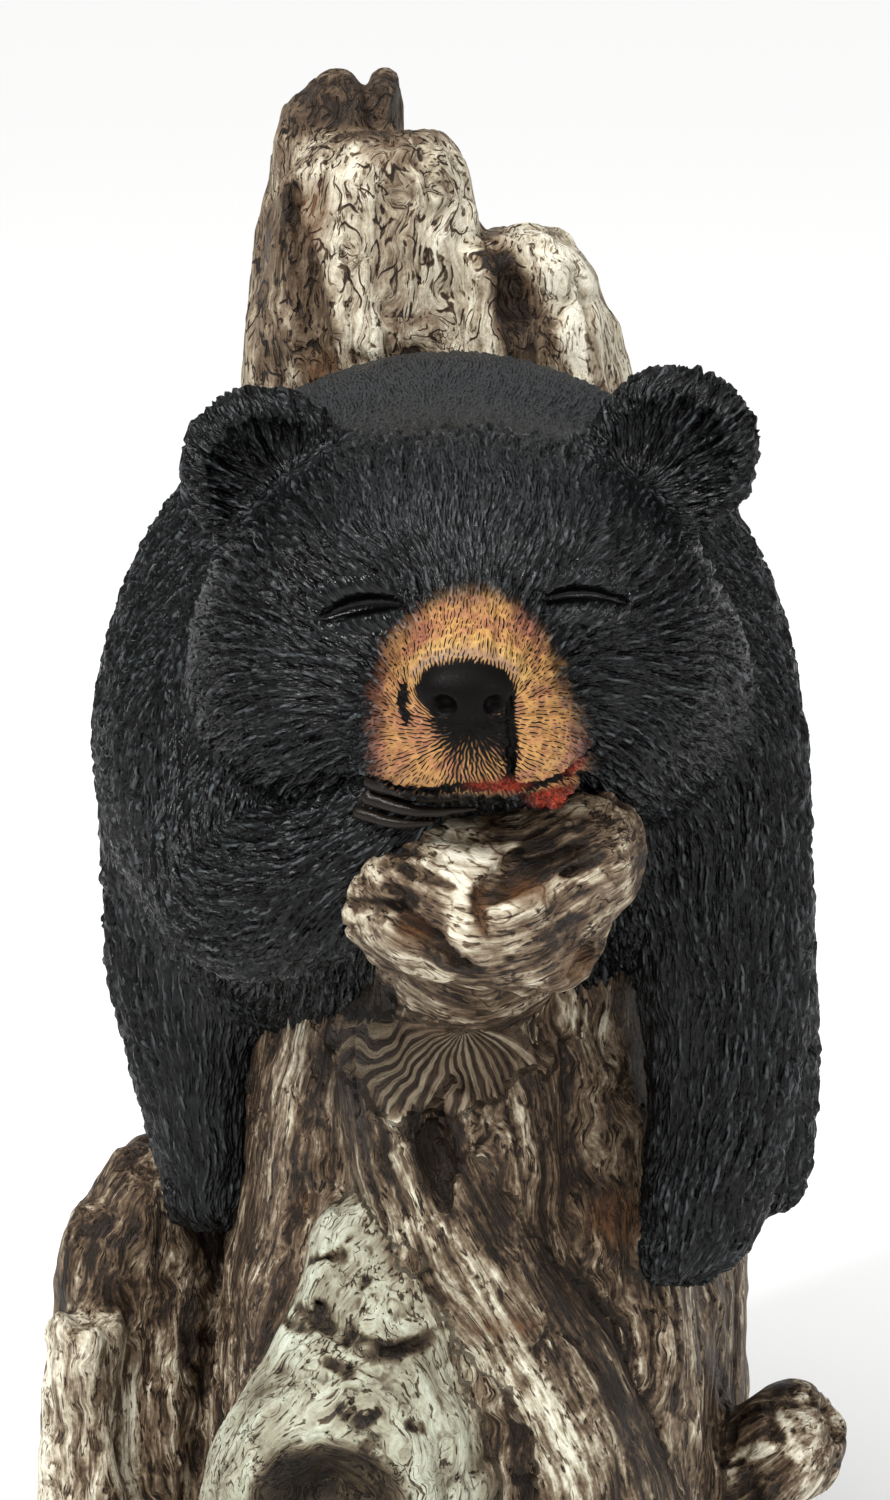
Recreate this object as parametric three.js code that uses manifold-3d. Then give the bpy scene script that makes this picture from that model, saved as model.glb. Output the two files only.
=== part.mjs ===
// A black bear asleep on a broken tree stump: a painted figurine cast in one piece.
//
// The bear lies along a short limb that juts forward from the stump. Its chin rests on the limb's
// rounded end, the right forepaw is folded under the cheek, and the other three legs hang beside
// the trunk. The trunk stands up behind the bear's rump and ends in broken lobes.
//
// Units are millimetres, +Z is up and the nose points along -Y, so the bear's right side is at -X.
// Every form is placed from the stump's own axis, and the finished solid is then moved so that the
// origin is the centre of its footprint box, on the underside.

import * as THREE from "three";
import { ParametricGeometry } from "three/addons/geometries/ParametricGeometry.js";
import { mergeVertices } from "three/addons/utils/BufferGeometryUtils.js";
import Module from "manifold-3d";

const wasm = await Module();
wasm.setup();

// ---------------------------------------------------------------- driving dimensions

const FIGURE_HEIGHT = 300;
const STUMP = { x: 2, y: 3, halfWidth: 50, halfDepth: 66 };
const SADDLE_Z = 180; // the lower trunk ends here, inside the bear's belly
const REAR_WALL = { x: -2, y: 44, halfWidth: 42, halfDepth: 28 };
const LIMB_END = { x: 7, y: -74, z: 171, halfWidth: 26.5, halfDepth: 25, halfHeight: 19.5 };
const BODY = { x: 0, y: 0, z: 187, halfWidth: 66.5, halfDepth: 57, halfHeight: 67.5 };
const HEAD = { x: 1, y: -48, z: 216, halfWidth: 45, halfDepth: 37, halfHeight: 34 };
const MUZZLE = { x: 3.5, y: -82, z: 209, halfWidth: 18, halfDepth: 22, halfHeight: 16 };
const EAR_RADIUS = 15;

const LEG_SIDES = 14; // facets round a leg
const TWIG_SIDES = 12; // facets round a thinner branch or root
const CAP_ROWS = 3; // rows of facets in a leg's round end

// ---------------------------------------------------------------- solids from three.js geometry

// A closed geometry as a manifold-3d solid with its faces pointing out.
function solid(geometry) {
  const bare = geometry.index ? geometry.toNonIndexed() : geometry.clone();
  bare.deleteAttribute("normal");
  bare.deleteAttribute("uv");
  const merged = mergeVertices(bare, 1e-3);
  const corners = merged.index.array;
  const triangles = [];
  for (let i = 0; i < corners.length; i += 3) {
    const [a, b, c] = corners.subarray(i, i + 3);
    if (a !== b && b !== c && c !== a) triangles.push(a, b, c);
  }
  const vertProperties = new Float32Array(merged.attributes.position.array);
  const withOrder = (order) => {
    const triVerts = new Uint32Array(order);
    return new wasm.Manifold(new wasm.Mesh({ numProp: 3, vertProperties, triVerts }));
  };
  const first = withOrder(triangles);
  return first.volume() > 0 ? first : withOrder(triangles.reverse());
}

const join = (pieces) => pieces.reduce((whole, piece) => whole.add(piece));
const cut = (whole, tools) => tools.reduce((rest, tool) => rest.subtract(tool), whole);

// A closed skin of rows by sides whose first and last rows shrink to a point.
function loft(rows, sides, place) {
  const surface = (u, v, target) => place(Math.round(u * rows), v * 2 * Math.PI, target);
  return solid(new ParametricGeometry(surface, rows, sides));
}

// An ellipsoid. tilt holds rotations about X, Y and Z in degrees.
function egg(centre, radii, sides, tilt = [0, 0, 0]) {
  const turn = new THREE.Euler(...tilt.map(THREE.MathUtils.degToRad));
  const shape = new THREE.SphereGeometry(1, sides, Math.round(sides * 0.6));
  shape.rotateX(Math.PI / 2).scale(...radii);
  shape.applyMatrix4(new THREE.Matrix4().makeRotationFromEuler(turn));
  return solid(shape.translate(...centre));
}

// A tapered round form with round ends, such as a leg, branch or root.
// Each joint is [x, y, z, radius], and the skin runs smoothly through all of them.
function limb(joints, rows, sides = LEG_SIDES) {
  const line = new THREE.CatmullRomCurve3(joints.map(([x, y, z]) => new THREE.Vector3(x, y, z)));
  const radii = new THREE.CatmullRomCurve3(joints.map(([, , , r]) => new THREE.Vector3(r, 0, 0)));
  const frames = line.computeFrenetFrames(rows, false);
  const rings = [];
  const addRing = (at, capAngle, side) => {
    const radius = radii.getPoint(line.getUtoTmapping(at / rows)).x;
    const centre = line.getPointAt(at / rows);
    centre.addScaledVector(frames.tangents[at], side * radius * Math.cos(capAngle));
    rings.push({ centre, radius: radius * Math.sin(capAngle), at });
  };
  const quarter = Math.PI / 2;
  for (let i = 0; i < CAP_ROWS; i++) addRing(0, (i / CAP_ROWS) * quarter, -1);
  for (let at = 0; at <= rows; at++) addRing(at, quarter, 0);
  for (let i = CAP_ROWS - 1; i >= 0; i--) addRing(rows, (i / CAP_ROWS) * quarter, 1);
  return loft(rings.length - 1, sides, (row, turn, target) => {
    const { centre, radius, at } = rings[row];
    target
      .copy(centre)
      .addScaledVector(frames.normals[at], radius * Math.cos(turn))
      .addScaledVector(frames.binormals[at], radius * Math.sin(turn));
  });
}

// An upright form of oval sections with a flat foot and a rounded top, such as a trunk or a splinter.
// Each section is [z, x, y, half width, half depth]; grain(turn, z) multiplies its radius.
function post(sections, sides, rows, grain = () => 1) {
  const foot = sections[0][0];
  const top = sections.at(-1)[0];
  const crown = 0.7 * Math.min(...sections.at(-1).slice(3)); // height of the rounded top
  const sectionAt = (z) => {
    const above = Math.max(1, sections.findIndex((section) => section[0] >= z));
    const [low, high] = [sections[above - 1], sections[above]];
    const share = THREE.MathUtils.clamp((z - low[0]) / (high[0] - low[0]), 0, 1);
    return low.map((value, i) => THREE.MathUtils.lerp(value, high[i], share));
  };
  const levels = [[foot, 0]];
  for (let i = 0; i <= rows; i++) levels.push([foot + ((top - crown - foot) * i) / rows, 1]);
  for (const degrees of [35, 65, 90]) {
    const rise = THREE.MathUtils.degToRad(degrees);
    levels.push([top - crown + crown * Math.sin(rise), Math.cos(rise)]);
  }
  return loft(levels.length - 1, sides, (row, turn, target) => {
    const [z, share] = levels[row];
    const [, x, y, halfWidth, halfDepth] = sectionAt(z);
    const radius = share * grain(turn, z);
    target.set(x + halfWidth * radius * Math.cos(turn), y + halfDepth * radius * Math.sin(turn), z);
  });
}

// ---------------------------------------------------------------- the stump

// Long flutes that twist slowly up the trunk, and root lobes that spread near the ground.
function trunkGrain(turn, z) {
  const twist = z * 0.006;
  const flutes = 0.035 * Math.sin(7 * turn + twist) + 0.02 * Math.sin(12 * turn - 2.3 * twist);
  const spread = Math.exp(-z / 17);
  return 1 + flutes + 0.09 * spread * Math.cos(6 * turn + 0.9);
}

function trunk() {
  const { x, y, halfWidth, halfDepth } = STUMP;
  const lower = [
    [0, x, y, halfWidth + 17, halfDepth + 7],
    [10, x, y, halfWidth + 12, halfDepth + 3],
    [26, x, y, halfWidth + 4, halfDepth],
    [75, x + 2, y, halfWidth, halfDepth],
    [105, x + 1, y + 2, halfWidth - 5, halfDepth - 2],
    [140, x, y + 5, halfWidth - 12, halfDepth - 5],
    [SADDLE_Z, x, y + 7, halfWidth - 14, halfDepth - 9],
  ];
  const wall = REAR_WALL;
  const rear = [
    [20, wall.x, wall.y, wall.halfWidth + 2, wall.halfDepth + 1],
    [110, wall.x, wall.y, wall.halfWidth, wall.halfDepth],
    [200, wall.x - 1, wall.y + 3, wall.halfWidth - 3, wall.halfDepth - 3],
    [258, wall.x - 2, wall.y + 3, wall.halfWidth - 7, wall.halfDepth - 6],
  ];
  return [post(lower, 42, 9, trunkGrain), post(rear, 28, 6, trunkGrain)];
}

// The broken top: a dark spire behind, a broad pale lobe in front of it and a lower lobe beside it.
function brokenTop() {
  const spire = [
    [200, -22, 54, 19, 15],
    [262, -23, 56, 15.5, 13],
    [FIGURE_HEIGHT, -24, 57, 10.5, 10],
  ];
  const spur = [
    [240, -14, 56, 7, 9],
    [298, -14, 57, 3.5, 7],
  ];
  const lobe = [
    [200, -17, 42, 24, 21],
    [255, -17, 41, 22, 19],
    [289, -17, 43, 19, 15],
  ];
  const shoulder = [
    [200, 2, 45, 15, 20],
    [278, -3, 45, 8, 14],
  ];
  const sideLobe = [
    [190, 19, 46, 18, 20],
    [235, 19, 46, 13, 18],
    [272, 16, 46, 9, 14],
  ];
  return [
    post(spire, 14, 3),
    post(spur, 10, 2),
    post(lobe, 18, 4),
    post(shoulder, 14, 3),
    post(sideLobe, 16, 4),
  ];
}

// Slabs of old bark that stand away from the trunk on the bear's right side.
function barkSlabs() {
  const slab = (x, y, halfWidth, halfDepth, top) => {
    const sections = [
      [0, x, y, halfWidth * 1.1, halfDepth * 1.1],
      [top * 0.5, x, y, halfWidth, halfDepth],
      [top, x * 0.98, y, halfWidth * 0.7, halfDepth * 0.7],
    ];
    return post(sections, 14, 3);
  };
  return [slab(-59, 8, 16, 20, 99), slab(-67, 1, 12, 15, 91), slab(-70, -12, 8.5, 9, 74)];
}

// The limb that carries the chin: its rounded end, its neck, and two torn hollows across its face.
function limbEnd() {
  const { x, y, z, halfWidth, halfDepth, halfHeight } = LIMB_END;
  const neck = [
    [x - 1, y + 4, z - 4, 15],
    [x - 3, y + 26, z - 10, 20],
  ];
  return {
    wood: [egg([x, y, z], [halfWidth, halfDepth, halfHeight], 20, [8, -8, 0]), limb(neck, 2)],
    hollows: [
      egg([x - 12, y - 22.5, z - 5], [4, 7, 10], 10, [0, -48, 0]),
      egg([x + 9, y - 22.5, z + 4], [4, 7, 11], 10, [0, 58, 0]),
    ],
  };
}

// A broken knot low on the front, a pale ridge above it, and a root that sweeps down to the left leg.
function frontKnot() {
  const root = [
    [-8, -46, 146, 12],
    [-9, -49, 124, 12],
    [4, -51, 100, 13],
    [18, -50, 74, 14],
    [26, -50, 46, 15],
    [31, -55, 14, 17],
  ];
  const ridge = [
    [-19, -50, 104, 10],
    [-20, -54, 86, 13],
    [-19, -58, 66, 17],
  ];
  return {
    wood: [
      egg([-19, -60, 58], [27, 18, 25], 20, [10, 0, 0]),
      limb(root, 6, TWIG_SIDES),
      limb(ridge, 2, TWIG_SIDES),
    ],
    hollow: egg([-20, -80, 57], [11.5, 11, 10], 14, [12, 0, 10]),
  };
}

// A short torn branch low on the left side, hollow at its end.
function sideBranch() {
  const joints = [
    [34, -8, 34, 17],
    [53, -14, 44, 14],
    [63, -18, 50, 12],
  ];
  return {
    wood: limb(joints, 4, TWIG_SIDES),
    hollow: egg([75, -20, 57], [9, 6, 6], 10, [0, -25, 0]),
  };
}

// ---------------------------------------------------------------- the bear

function torso() {
  const { x, y, z, halfWidth, halfDepth, halfHeight } = BODY;
  return [
    egg([x, y, z], [halfWidth, halfDepth, halfHeight], 24),
    egg([x, y + 24, z + 3], [halfWidth - 14, 36, halfHeight - 13], 18), // rump
    egg([x + 1, y - 32, z + 8], [halfWidth - 10, 32, halfHeight - 26], 18), // shoulders
  ];
}

function head() {
  const { x, y, z, halfWidth, halfDepth, halfHeight } = HEAD;
  const side = (s) => [
    egg([x + s * 23, y - 6, z - 12], [24, 29, 23], 18), // cheek
    egg([x + s * 19.5, y - 27, z + 9], [8, 6, 4.5], 10, [20, s * 16, s * 30]), // closed eye
  ];
  return [egg([x, y, z], [halfWidth, halfDepth, halfHeight], 24, [12, 0, 0]), ...side(-1), ...side(1)];
}

function muzzle() {
  const { x, y, z, halfWidth, halfDepth, halfHeight } = MUZZLE;
  const bridge = [
    [x, y + 12, z + 13, 11],
    [x - 1, y - 12, z + 5, 8],
  ];
  const lip = (s) => egg([x + s * 9, y - 3, z - 8], [10, 15, 8], 14, [0, 0, s * -10]);
  const nostril = (s) => egg([x - 2 + s * 4.4, y - 23.5, z + 4], [1.8, 3, 2], 8, [0, 0, s * 25]);
  return {
    flesh: [
      egg([x, y, z], [halfWidth, halfDepth, halfHeight], 20, [18, 0, 0]),
      limb(bridge, 2, TWIG_SIDES),
      lip(-1),
      lip(1),
      egg([x, y + 2, z - 14], [16, 16, 6], 14), // chin
      egg([x - 2, y - 18.5, z + 5], [8.6, 5.4, 6], 14, [14, 0, 0]), // nose leather
    ],
    nostrils: [nostril(-1), nostril(1)],
  };
}

// Both ears are thick round cups that open forward. The left one, at +X, sits higher.
function ears() {
  const ear = (s, x, z) => {
    const y = HEAD.y + 4;
    const bowlRadius = EAR_RADIUS - 3.2;
    const cup = egg([x, y, z], [EAR_RADIUS, 6.5, EAR_RADIUS], 16, [-6, s * 10, s * -14]);
    const base = limb([[x - s * 12, y + 2, z - 13, 11], [x - s * 5, y + 2, z - 5, 9]], 1, TWIG_SIDES);
    const bowl = egg([x, y - 7, z - 1], [bowlRadius, 5.5, bowlRadius], 14, [-6, 0, 0]);
    return cut(join([cup, base]), [bowl]);
  };
  return [ear(-1, HEAD.x - 34, HEAD.z + 24.5), ear(1, HEAD.x + 37, HEAD.z + 28)];
}

// The legs as joints from shoulder or hip to paw. The right forepaw is folded under the cheek.
function legs() {
  const foldedFore = [
    [-33, -40, 202, 19],
    [-36, -54, 182, 16],
    [-35.5, -62, 170, 15.5],
    [-25, -73, 175, 13.5],
    [-14, -84, 183, 9.5],
    [-6, -90, 187, 7],
  ];
  const hangingFore = [
    [44, -34, 188, 19],
    [47, -40, 162, 17],
    [48, -44, 141, 15],
    [47.5, -47, 124, 13],
    [45, -49, 110, 11.5],
    [42, -51, 102, 8.5],
  ];
  const hindRight = [
    [-41, 14, 168, 27],
    [-47, 6, 138, 19],
    [-46.5, 0, 119, 14],
    [-46, -4, 105, 11],
    [-46, -7, 96, 8.5],
  ];
  const hindLeft = [
    [42, 20, 168, 26],
    [52, 16, 136, 18],
    [56.5, 16, 110, 14.5],
    [57, 14, 94, 12.5],
  ];
  return [limb(foldedFore, 8), limb(hangingFore, 8), limb(hindRight, 6), limb(hindLeft, 6)];
}

// ---------------------------------------------------------------- the casting

function casting() {
  const end = limbEnd();
  const knot = frontKnot();
  const branch = sideBranch();
  const wood = join([...trunk(), ...brokenTop(), ...barkSlabs(), ...end.wood, ...knot.wood, branch.wood]);
  const stump = cut(wood, [...end.hollows, knot.hollow, branch.hollow]);
  const snout = muzzle();
  const bear = join([...torso(), ...head(), ...snout.flesh, ...ears(), ...legs()]);
  const ground = solid(new THREE.BoxGeometry(400, 400, 100).translate(0, 0, -50));
  return cut(join([stump, cut(bear, snout.nostrils)]), [ground]);
}

function toGeometry(manifold) {
  const mesh = manifold.getMesh();
  const geometry = new THREE.BufferGeometry();
  geometry.setAttribute("position", new THREE.BufferAttribute(mesh.vertProperties, 3));
  geometry.setIndex(new THREE.BufferAttribute(mesh.triVerts, 1));
  geometry.computeVertexNormals();
  return geometry;
}

const figure = new THREE.Group();
const paintedResin = new THREE.MeshStandardMaterial({ color: 0x2a2b2c, roughness: 0.55, metalness: 0 });
const bearOnStump = new THREE.Mesh(toGeometry(casting()), paintedResin);
bearOnStump.name = "bear_on_stump";
bearOnStump.geometry.computeBoundingBox();
const footprint = bearOnStump.geometry.boundingBox.getCenter(new THREE.Vector3());
bearOnStump.position.set(-footprint.x, -footprint.y, 0);
figure.add(bearOnStump);

export default figure;
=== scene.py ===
"""A painted resin figurine: a black bear asleep on a broken tree stump.

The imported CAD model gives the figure's place and size. Inside that box two closed meshes are
sculpted, the bear and the stump, from distance fields of rounded forms that melt into each other.
A surface net turns each field into quads, and the tooled fur and the carved grain are then pressed
into the skin as small moves of its points. Measures are millimetres in the sculptor's axes until a
mesh is made: +X is the bear's left, the nose points along -Y and +Z is up.
"""

import math

import bpy
import numpy as np
from mathutils import Euler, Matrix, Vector


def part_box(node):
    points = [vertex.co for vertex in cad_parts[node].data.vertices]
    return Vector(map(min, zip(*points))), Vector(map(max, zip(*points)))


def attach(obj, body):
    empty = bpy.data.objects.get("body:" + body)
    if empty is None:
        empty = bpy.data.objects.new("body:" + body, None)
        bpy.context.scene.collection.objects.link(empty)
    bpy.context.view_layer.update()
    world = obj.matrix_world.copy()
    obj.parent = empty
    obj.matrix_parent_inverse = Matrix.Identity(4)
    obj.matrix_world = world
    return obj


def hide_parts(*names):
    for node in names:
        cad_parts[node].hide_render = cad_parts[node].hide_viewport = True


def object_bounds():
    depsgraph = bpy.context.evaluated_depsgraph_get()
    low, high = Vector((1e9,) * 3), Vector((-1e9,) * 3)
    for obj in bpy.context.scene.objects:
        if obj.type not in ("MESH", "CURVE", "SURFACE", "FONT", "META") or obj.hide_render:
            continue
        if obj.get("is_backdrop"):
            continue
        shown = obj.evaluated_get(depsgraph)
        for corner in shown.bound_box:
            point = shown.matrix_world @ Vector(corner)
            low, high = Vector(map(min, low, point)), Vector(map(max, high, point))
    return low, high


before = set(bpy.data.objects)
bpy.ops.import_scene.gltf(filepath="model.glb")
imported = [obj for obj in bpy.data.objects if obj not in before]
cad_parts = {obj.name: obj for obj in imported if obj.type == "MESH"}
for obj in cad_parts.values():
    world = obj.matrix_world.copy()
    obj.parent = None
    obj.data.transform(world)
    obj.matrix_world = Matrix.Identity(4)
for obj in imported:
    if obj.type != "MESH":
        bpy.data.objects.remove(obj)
cad_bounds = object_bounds()

# ---- sizes, from the imported model's box

NODE = "bear_on_stump"
FIGURE_HEIGHT = 300  # the figure's height in sculptor's millimetres
LEFTMOST, FRONTMOST = -80.2, -105.8  # its left and front limits in the sculptor's axes
low_corner, high_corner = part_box(NODE)
UNIT = (high_corner.z - low_corner.z) / FIGURE_HEIGHT  # one sculptor's millimetre, in metres
SHIFT = np.array([low_corner.x / UNIT - LEFTMOST, low_corner.y / UNIT - FRONTMOST, low_corner.z / UNIT])

COARSE = 1.0
SIDES = (-1, 1)

HEAD = np.array([1.0, -48.0, 216.0])
MUZZLE = np.array([2.2, -82.0, 208.0])
NOSE = np.array([1.6, -99.6, 214.4])
LIMB_END = np.array([6.0, -75.0, 173.5])
KNOT = np.array([-19.0, -62.0, 58.0])
KNOT_HOLE = np.array([-23.0, -81.0, 61.0])

# ---- fields


def dot(a, b):
    return np.einsum("ij,ij->i", a, b)


def length(v):
    return np.sqrt(dot(v, v))


def unit(v):
    return v / np.maximum(length(v), 1e-6)[:, None]


def smooth(low, high, x):
    t = np.clip((x - low) / (high - low), 0, 1)
    return t * t * (3 - 2 * t)


def blend(a, b, melt):
    """The union of two fields, rounded where they meet."""
    h = np.clip(0.5 + 0.5 * (b - a) / melt, 0, 1)
    return b + (a - b) * h - melt * h * (1 - h)


def carve(a, b, melt):
    """Field a with b cut out of it, its edge rounded."""
    return -blend(-a, b, melt)


def turned(degrees):
    """The rotation about X, then Y, then Z."""
    return np.array(Euler(np.radians(degrees)).to_matrix(), np.float32)


MARGIN = 14  # beyond this distance a form has no say in the skin


def nearby(p, centre, radius, exact):
    """A form's field where the form is near, and a safe large value elsewhere."""
    away = length(p - np.float32(centre)) - radius
    close = away < MARGIN
    if close.all():
        return exact(p)
    away = np.maximum(away, MARGIN).astype(np.float32)
    if close.any():
        away[close] = exact(p[close])
    return away


def egg(p, centre, radii, tilt=(0, 0, 0)):
    """An ellipsoid."""
    turn = turned(tilt)
    size = np.float32(radii)

    def exact(q):
        scaled = ((q - np.float32(centre)) @ turn) / size
        k0 = length(scaled)
        return k0 * (k0 - 1) / np.maximum(length(scaled / size), 1e-6)

    return nearby(p, centre, max(radii), exact)


def melted(p, skin, eggs):
    """The skin with eggs melted onto it. Each is (melt, centre, radii), and its tilt where it leans."""
    for melt, *form in eggs:
        skin = blend(skin, egg(p, *form), melt)
    return skin


def spline(joints, steps=4):
    """Points on the smooth line through the joints, each with its radius."""
    joints = np.array(joints, np.float32)
    ends = np.vstack([2 * joints[0] - joints[1], joints, 2 * joints[-1] - joints[-2]])
    points = []
    for a, b, c, d in zip(ends, ends[1:], ends[2:], ends[3:]):
        for t in np.arange(steps) / steps:
            cubic = (3 * b - a - 3 * c + d) * t**3
            points.append((2 * b + (c - a) * t + (2 * a - 5 * b + 4 * c - d) * t * t + cubic) / 2)
    return np.array(points + [joints[-1]], np.float32)


def segments(p, line):
    """For each stretch of a limb's line: its step, each point's share of it, offset and distance."""
    for a, b in zip(line, line[1:]):
        step = b[:3] - a[:3]
        t = np.clip((p - a[:3]) @ step / float(step @ step), 0, 1)
        away = p - a[:3] - t[:, None] * step
        yield step, t, away, length(away) - a[3] - (b[3] - a[3]) * t


def limb_frame(p, joints, steps=4):
    """Per point: the distance to a limb's skin, its axis direction, the offset and the way along."""
    skin = np.full(len(p), 1e6, np.float32)
    axis = np.zeros_like(p)
    offset = np.zeros_like(p)
    along = np.zeros_like(skin)
    travelled = 0.0
    for step, t, away, reach in segments(p, spline(joints, steps)):
        size = float(np.linalg.norm(step))
        closer = reach < skin
        skin[closer] = reach[closer]
        axis[closer] = step / size
        offset[closer] = away[closer]
        along[closer] = (travelled + t * size)[closer]
        travelled += size
    return skin, axis, offset, along


def limb(p, joints, steps=4):
    """A tapered round form through its joints, each [x, y, z, radius]."""
    line = spline(joints, steps)
    centre = (line[:, :3].min(0) + line[:, :3].max(0)) / 2
    radius = float((np.linalg.norm(line[:, :3] - centre, axis=1) + line[:, 3]).max())

    def exact(q):
        skin = np.full(len(q), 1e6, np.float32)
        for *_, reach in segments(q, line):
            skin = np.minimum(skin, reach)
        return skin

    return nearby(p, centre, radius, exact)


def thin_lines(p, lines):
    """The field of the nearest of some thin limbs."""
    return np.minimum.reduce([limb(p, line, 3) for line in lines])


def grooved(p, skin, lines, edge):
    """The skin with a groove cut along each line."""
    for line in lines:
        skin = carve(skin, limb(p, line, 3), edge)
    return skin


def post(p, sections, crown, grain=None):
    """An upright form of oval sections, each [z, x, y, half width, half depth], with a rounded top."""
    table = np.array(sections, np.float32)
    z = p[:, 2]
    x, y, wide, deep = (np.interp(z, table[:, 0], table[:, i]).astype(np.float32) for i in range(1, 5))
    dx, dy = (p[:, 0] - x) / wide, (p[:, 1] - y) / deep
    radius = np.hypot(dx, dy)
    edge = 1 if grain is None else grain(np.arctan2(dy, dx), z)
    side = (radius - edge) * np.minimum(wide, deep)
    return -blend(-side, table[-1, 0] - z, crown)


def on_front(field, *lines):
    """Lines of joints that lie on a form's front skin. Each point is (x, z, sink, radius)."""
    y = np.arange(-112, 60, 0.2)
    laid = []
    for line in lines:
        laid.append([])
        for x, z, sink, radius in line:
            ray = np.stack([np.full_like(y, x), y, np.full_like(y, z)], 1).astype(np.float32)
            laid[-1].append([x, float(y[np.argmax(field(ray) < 0)]) + sink, z, radius])
    return laid


# ---- noise


def scatter(cells, seed):
    """A repeatable random number from 0 to 1 for each whole-number cell."""
    h = cells[:, 0] * 73856093 ^ cells[:, 1] * 19349663 ^ cells[:, 2] * 83492791 ^ seed * 1000003
    h = (h ^ (h >> 15)) * 2246822519 & 0xFFFFFFFF
    h = (h ^ (h >> 13)) * 3266489917 & 0xFFFFFFFF
    return ((h ^ (h >> 16)) & 0xFFFFFF).astype(np.float32) / 0xFFFFFF


def noise(p, seed=0):
    """Smooth noise from -1 to 1, one lump to a unit."""
    cell = np.floor(p).astype(np.int64)
    t = (p - cell).astype(np.float32)
    t = t * t * t * (t * (t * 6 - 15) + 10)
    total = np.zeros(len(p), np.float32)
    for corner in np.ndindex(2, 2, 2):
        weight = np.prod(np.where(corner, t, 1 - t), axis=1)
        total += weight * scatter(cell + np.array(corner), seed)
    return total * 2 - 1


def strokes(p, along, across, spacing, reach, seed):
    """Short parallel ridges that run along one direction, as a graver leaves: from -1 to 1."""
    cell = np.floor(p / reach).astype(np.int64)
    total = np.zeros(len(p), np.float32)
    for shift in np.ndindex(3, 3, 3):
        near = cell + np.array(shift) - 1
        spot = np.stack([scatter(near, seed + i) for i in range(3)], 1)
        away = (p - (near + spot) * reach).astype(np.float32)
        side = dot(away, across)
        ahead = dot(away, along)
        fade = np.exp(-3.0 * (ahead**2 + 2.6 * side**2) / reach**2)
        turn = 2 * math.pi * (side / spacing + scatter(near, seed + 3))
        total += fade * np.cos(turn)
    return np.tanh(1.3 * total)


# ---- the bear's forms

FOLDED_FORE = [
    [-31, -38, 202, 19], [-34, -52, 185, 17], [-35, -60, 172, 16.5],
    [-27, -69, 173.5, 15], [-18, -75, 180, 11.5], [-10, -80, 187, 8],
]
HANGING_FORE = [
    [43, -34, 188, 20], [47, -40, 162, 16.5], [48, -44, 141, 14.5],
    [47.5, -47, 124, 12.8], [45, -49, 110, 11.3], [42.5, -51, 103, 8.8],
]
HIND_RIGHT = [
    [-40, 14, 168, 27], [-47, 6, 140, 19], [-47, 0, 120, 14.5],
    [-46, -4, 106, 11.5], [-45.5, -7, 97, 9],
]
HIND_LEFT = [[41, 20, 168, 26], [51, 16, 136, 18.5], [56, 16, 110, 14.5], [56.5, 14, 95, 12.5]]


def torso(p):
    lumps = [
        (14, (-1, 26, 192), (48, 36, 54)),  # rump
        (14, (0, -30, 192), (50, 32, 42)),  # chest
        (10, (37, -22, 184), (24, 26, 32)),  # left shoulder
        (12, (-40, -18, 182), (22, 26, 30)),  # right shoulder
    ]
    return melted(p, egg(p, (-1, 0, 185), (64.5, 56, 68.5)), lumps)


def skull(p):
    x, y, z = HEAD
    cheeks = [(12, (x + s * 23, y - 5, z - 13), (23, 28, 22)) for s in SIDES]
    ruff = (10, (x + 34, y + 6, z - 18), (17, 20, 20))
    forehead = (14, (x + 1, y - 17, z + 15), (24, 15, 14))
    return melted(p, egg(p, HEAD, (43.5, 36, 33), (12, 0, 0)), cheeks + [ruff, forehead])


def snout(p):
    x, y, z = MUZZLE
    bridge = [[x, -62, 229, 12], [x, -76, 223, 11], [x - 0.4, -91, 216.5, 8.5]]
    lips = [(5, (x + s * 8.5, y - 5, z - 6), (10, 14, 7.5), (0, 0, s * -12)) for s in SIDES]
    tip = (5, NOSE + (0, 4.5, -1.5), (9.5, 6, 8))
    skin = blend(limb(p, bridge), egg(p, (x + 0.6, y, z - 1), (18.5, 21, 14.5)), 8)
    return melted(p, skin, lips + [tip])


def bare_head(p):
    return blend(skull(p), snout(p), 7)


SLITS = on_front(  # the closed eyes
    bare_head,
    [(-22, 221.8, 0.4, 0.6), (-18.5, 223.6, 0.2, 1.5), (-14, 224.9, 0.2, 1.5), (-9.5, 225.3, 0.5, 0.7)],
    [(15.5, 225.9, 0.4, 0.8), (19.5, 226.2, 0.2, 1.2), (24, 225.6, 0.3, 0.9), (28, 224, 0.5, 0.5)],
)
LIDS = on_front(  # the upper lids, then the lower ones
    bare_head,
    [(-23, 224.3, 1.0, 1.2), (-17, 227.6, 0.9, 1.9), (-10, 228, 1.2, 1.3)],
    [(15, 228.4, 1.2, 1.3), (20.5, 229.0, 0.9, 1.8), (28, 226.6, 1.1, 1.2)],
    [(-21.5, 219.4, 1.4, 1.3), (-15.5, 221.8, 1.0, 1.7), (-9, 222.6, 1.4, 1.2)],
    [(15.5, 223.3, 1.4, 1.2), (21, 223.3, 1.0, 1.7), (27.5, 221.6, 1.4, 1.3)],
)
BROWS = on_front(
    bare_head,
    [(-27, 229, 4.6, 3.4), (-18, 233, 4.6, 4.4), (-8, 233, 4.6, 3.6)],
    [(11, 233.5, 4.6, 3.6), (21, 234, 4.6, 4.4), (30, 231, 4.6, 3.4)],
)
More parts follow.
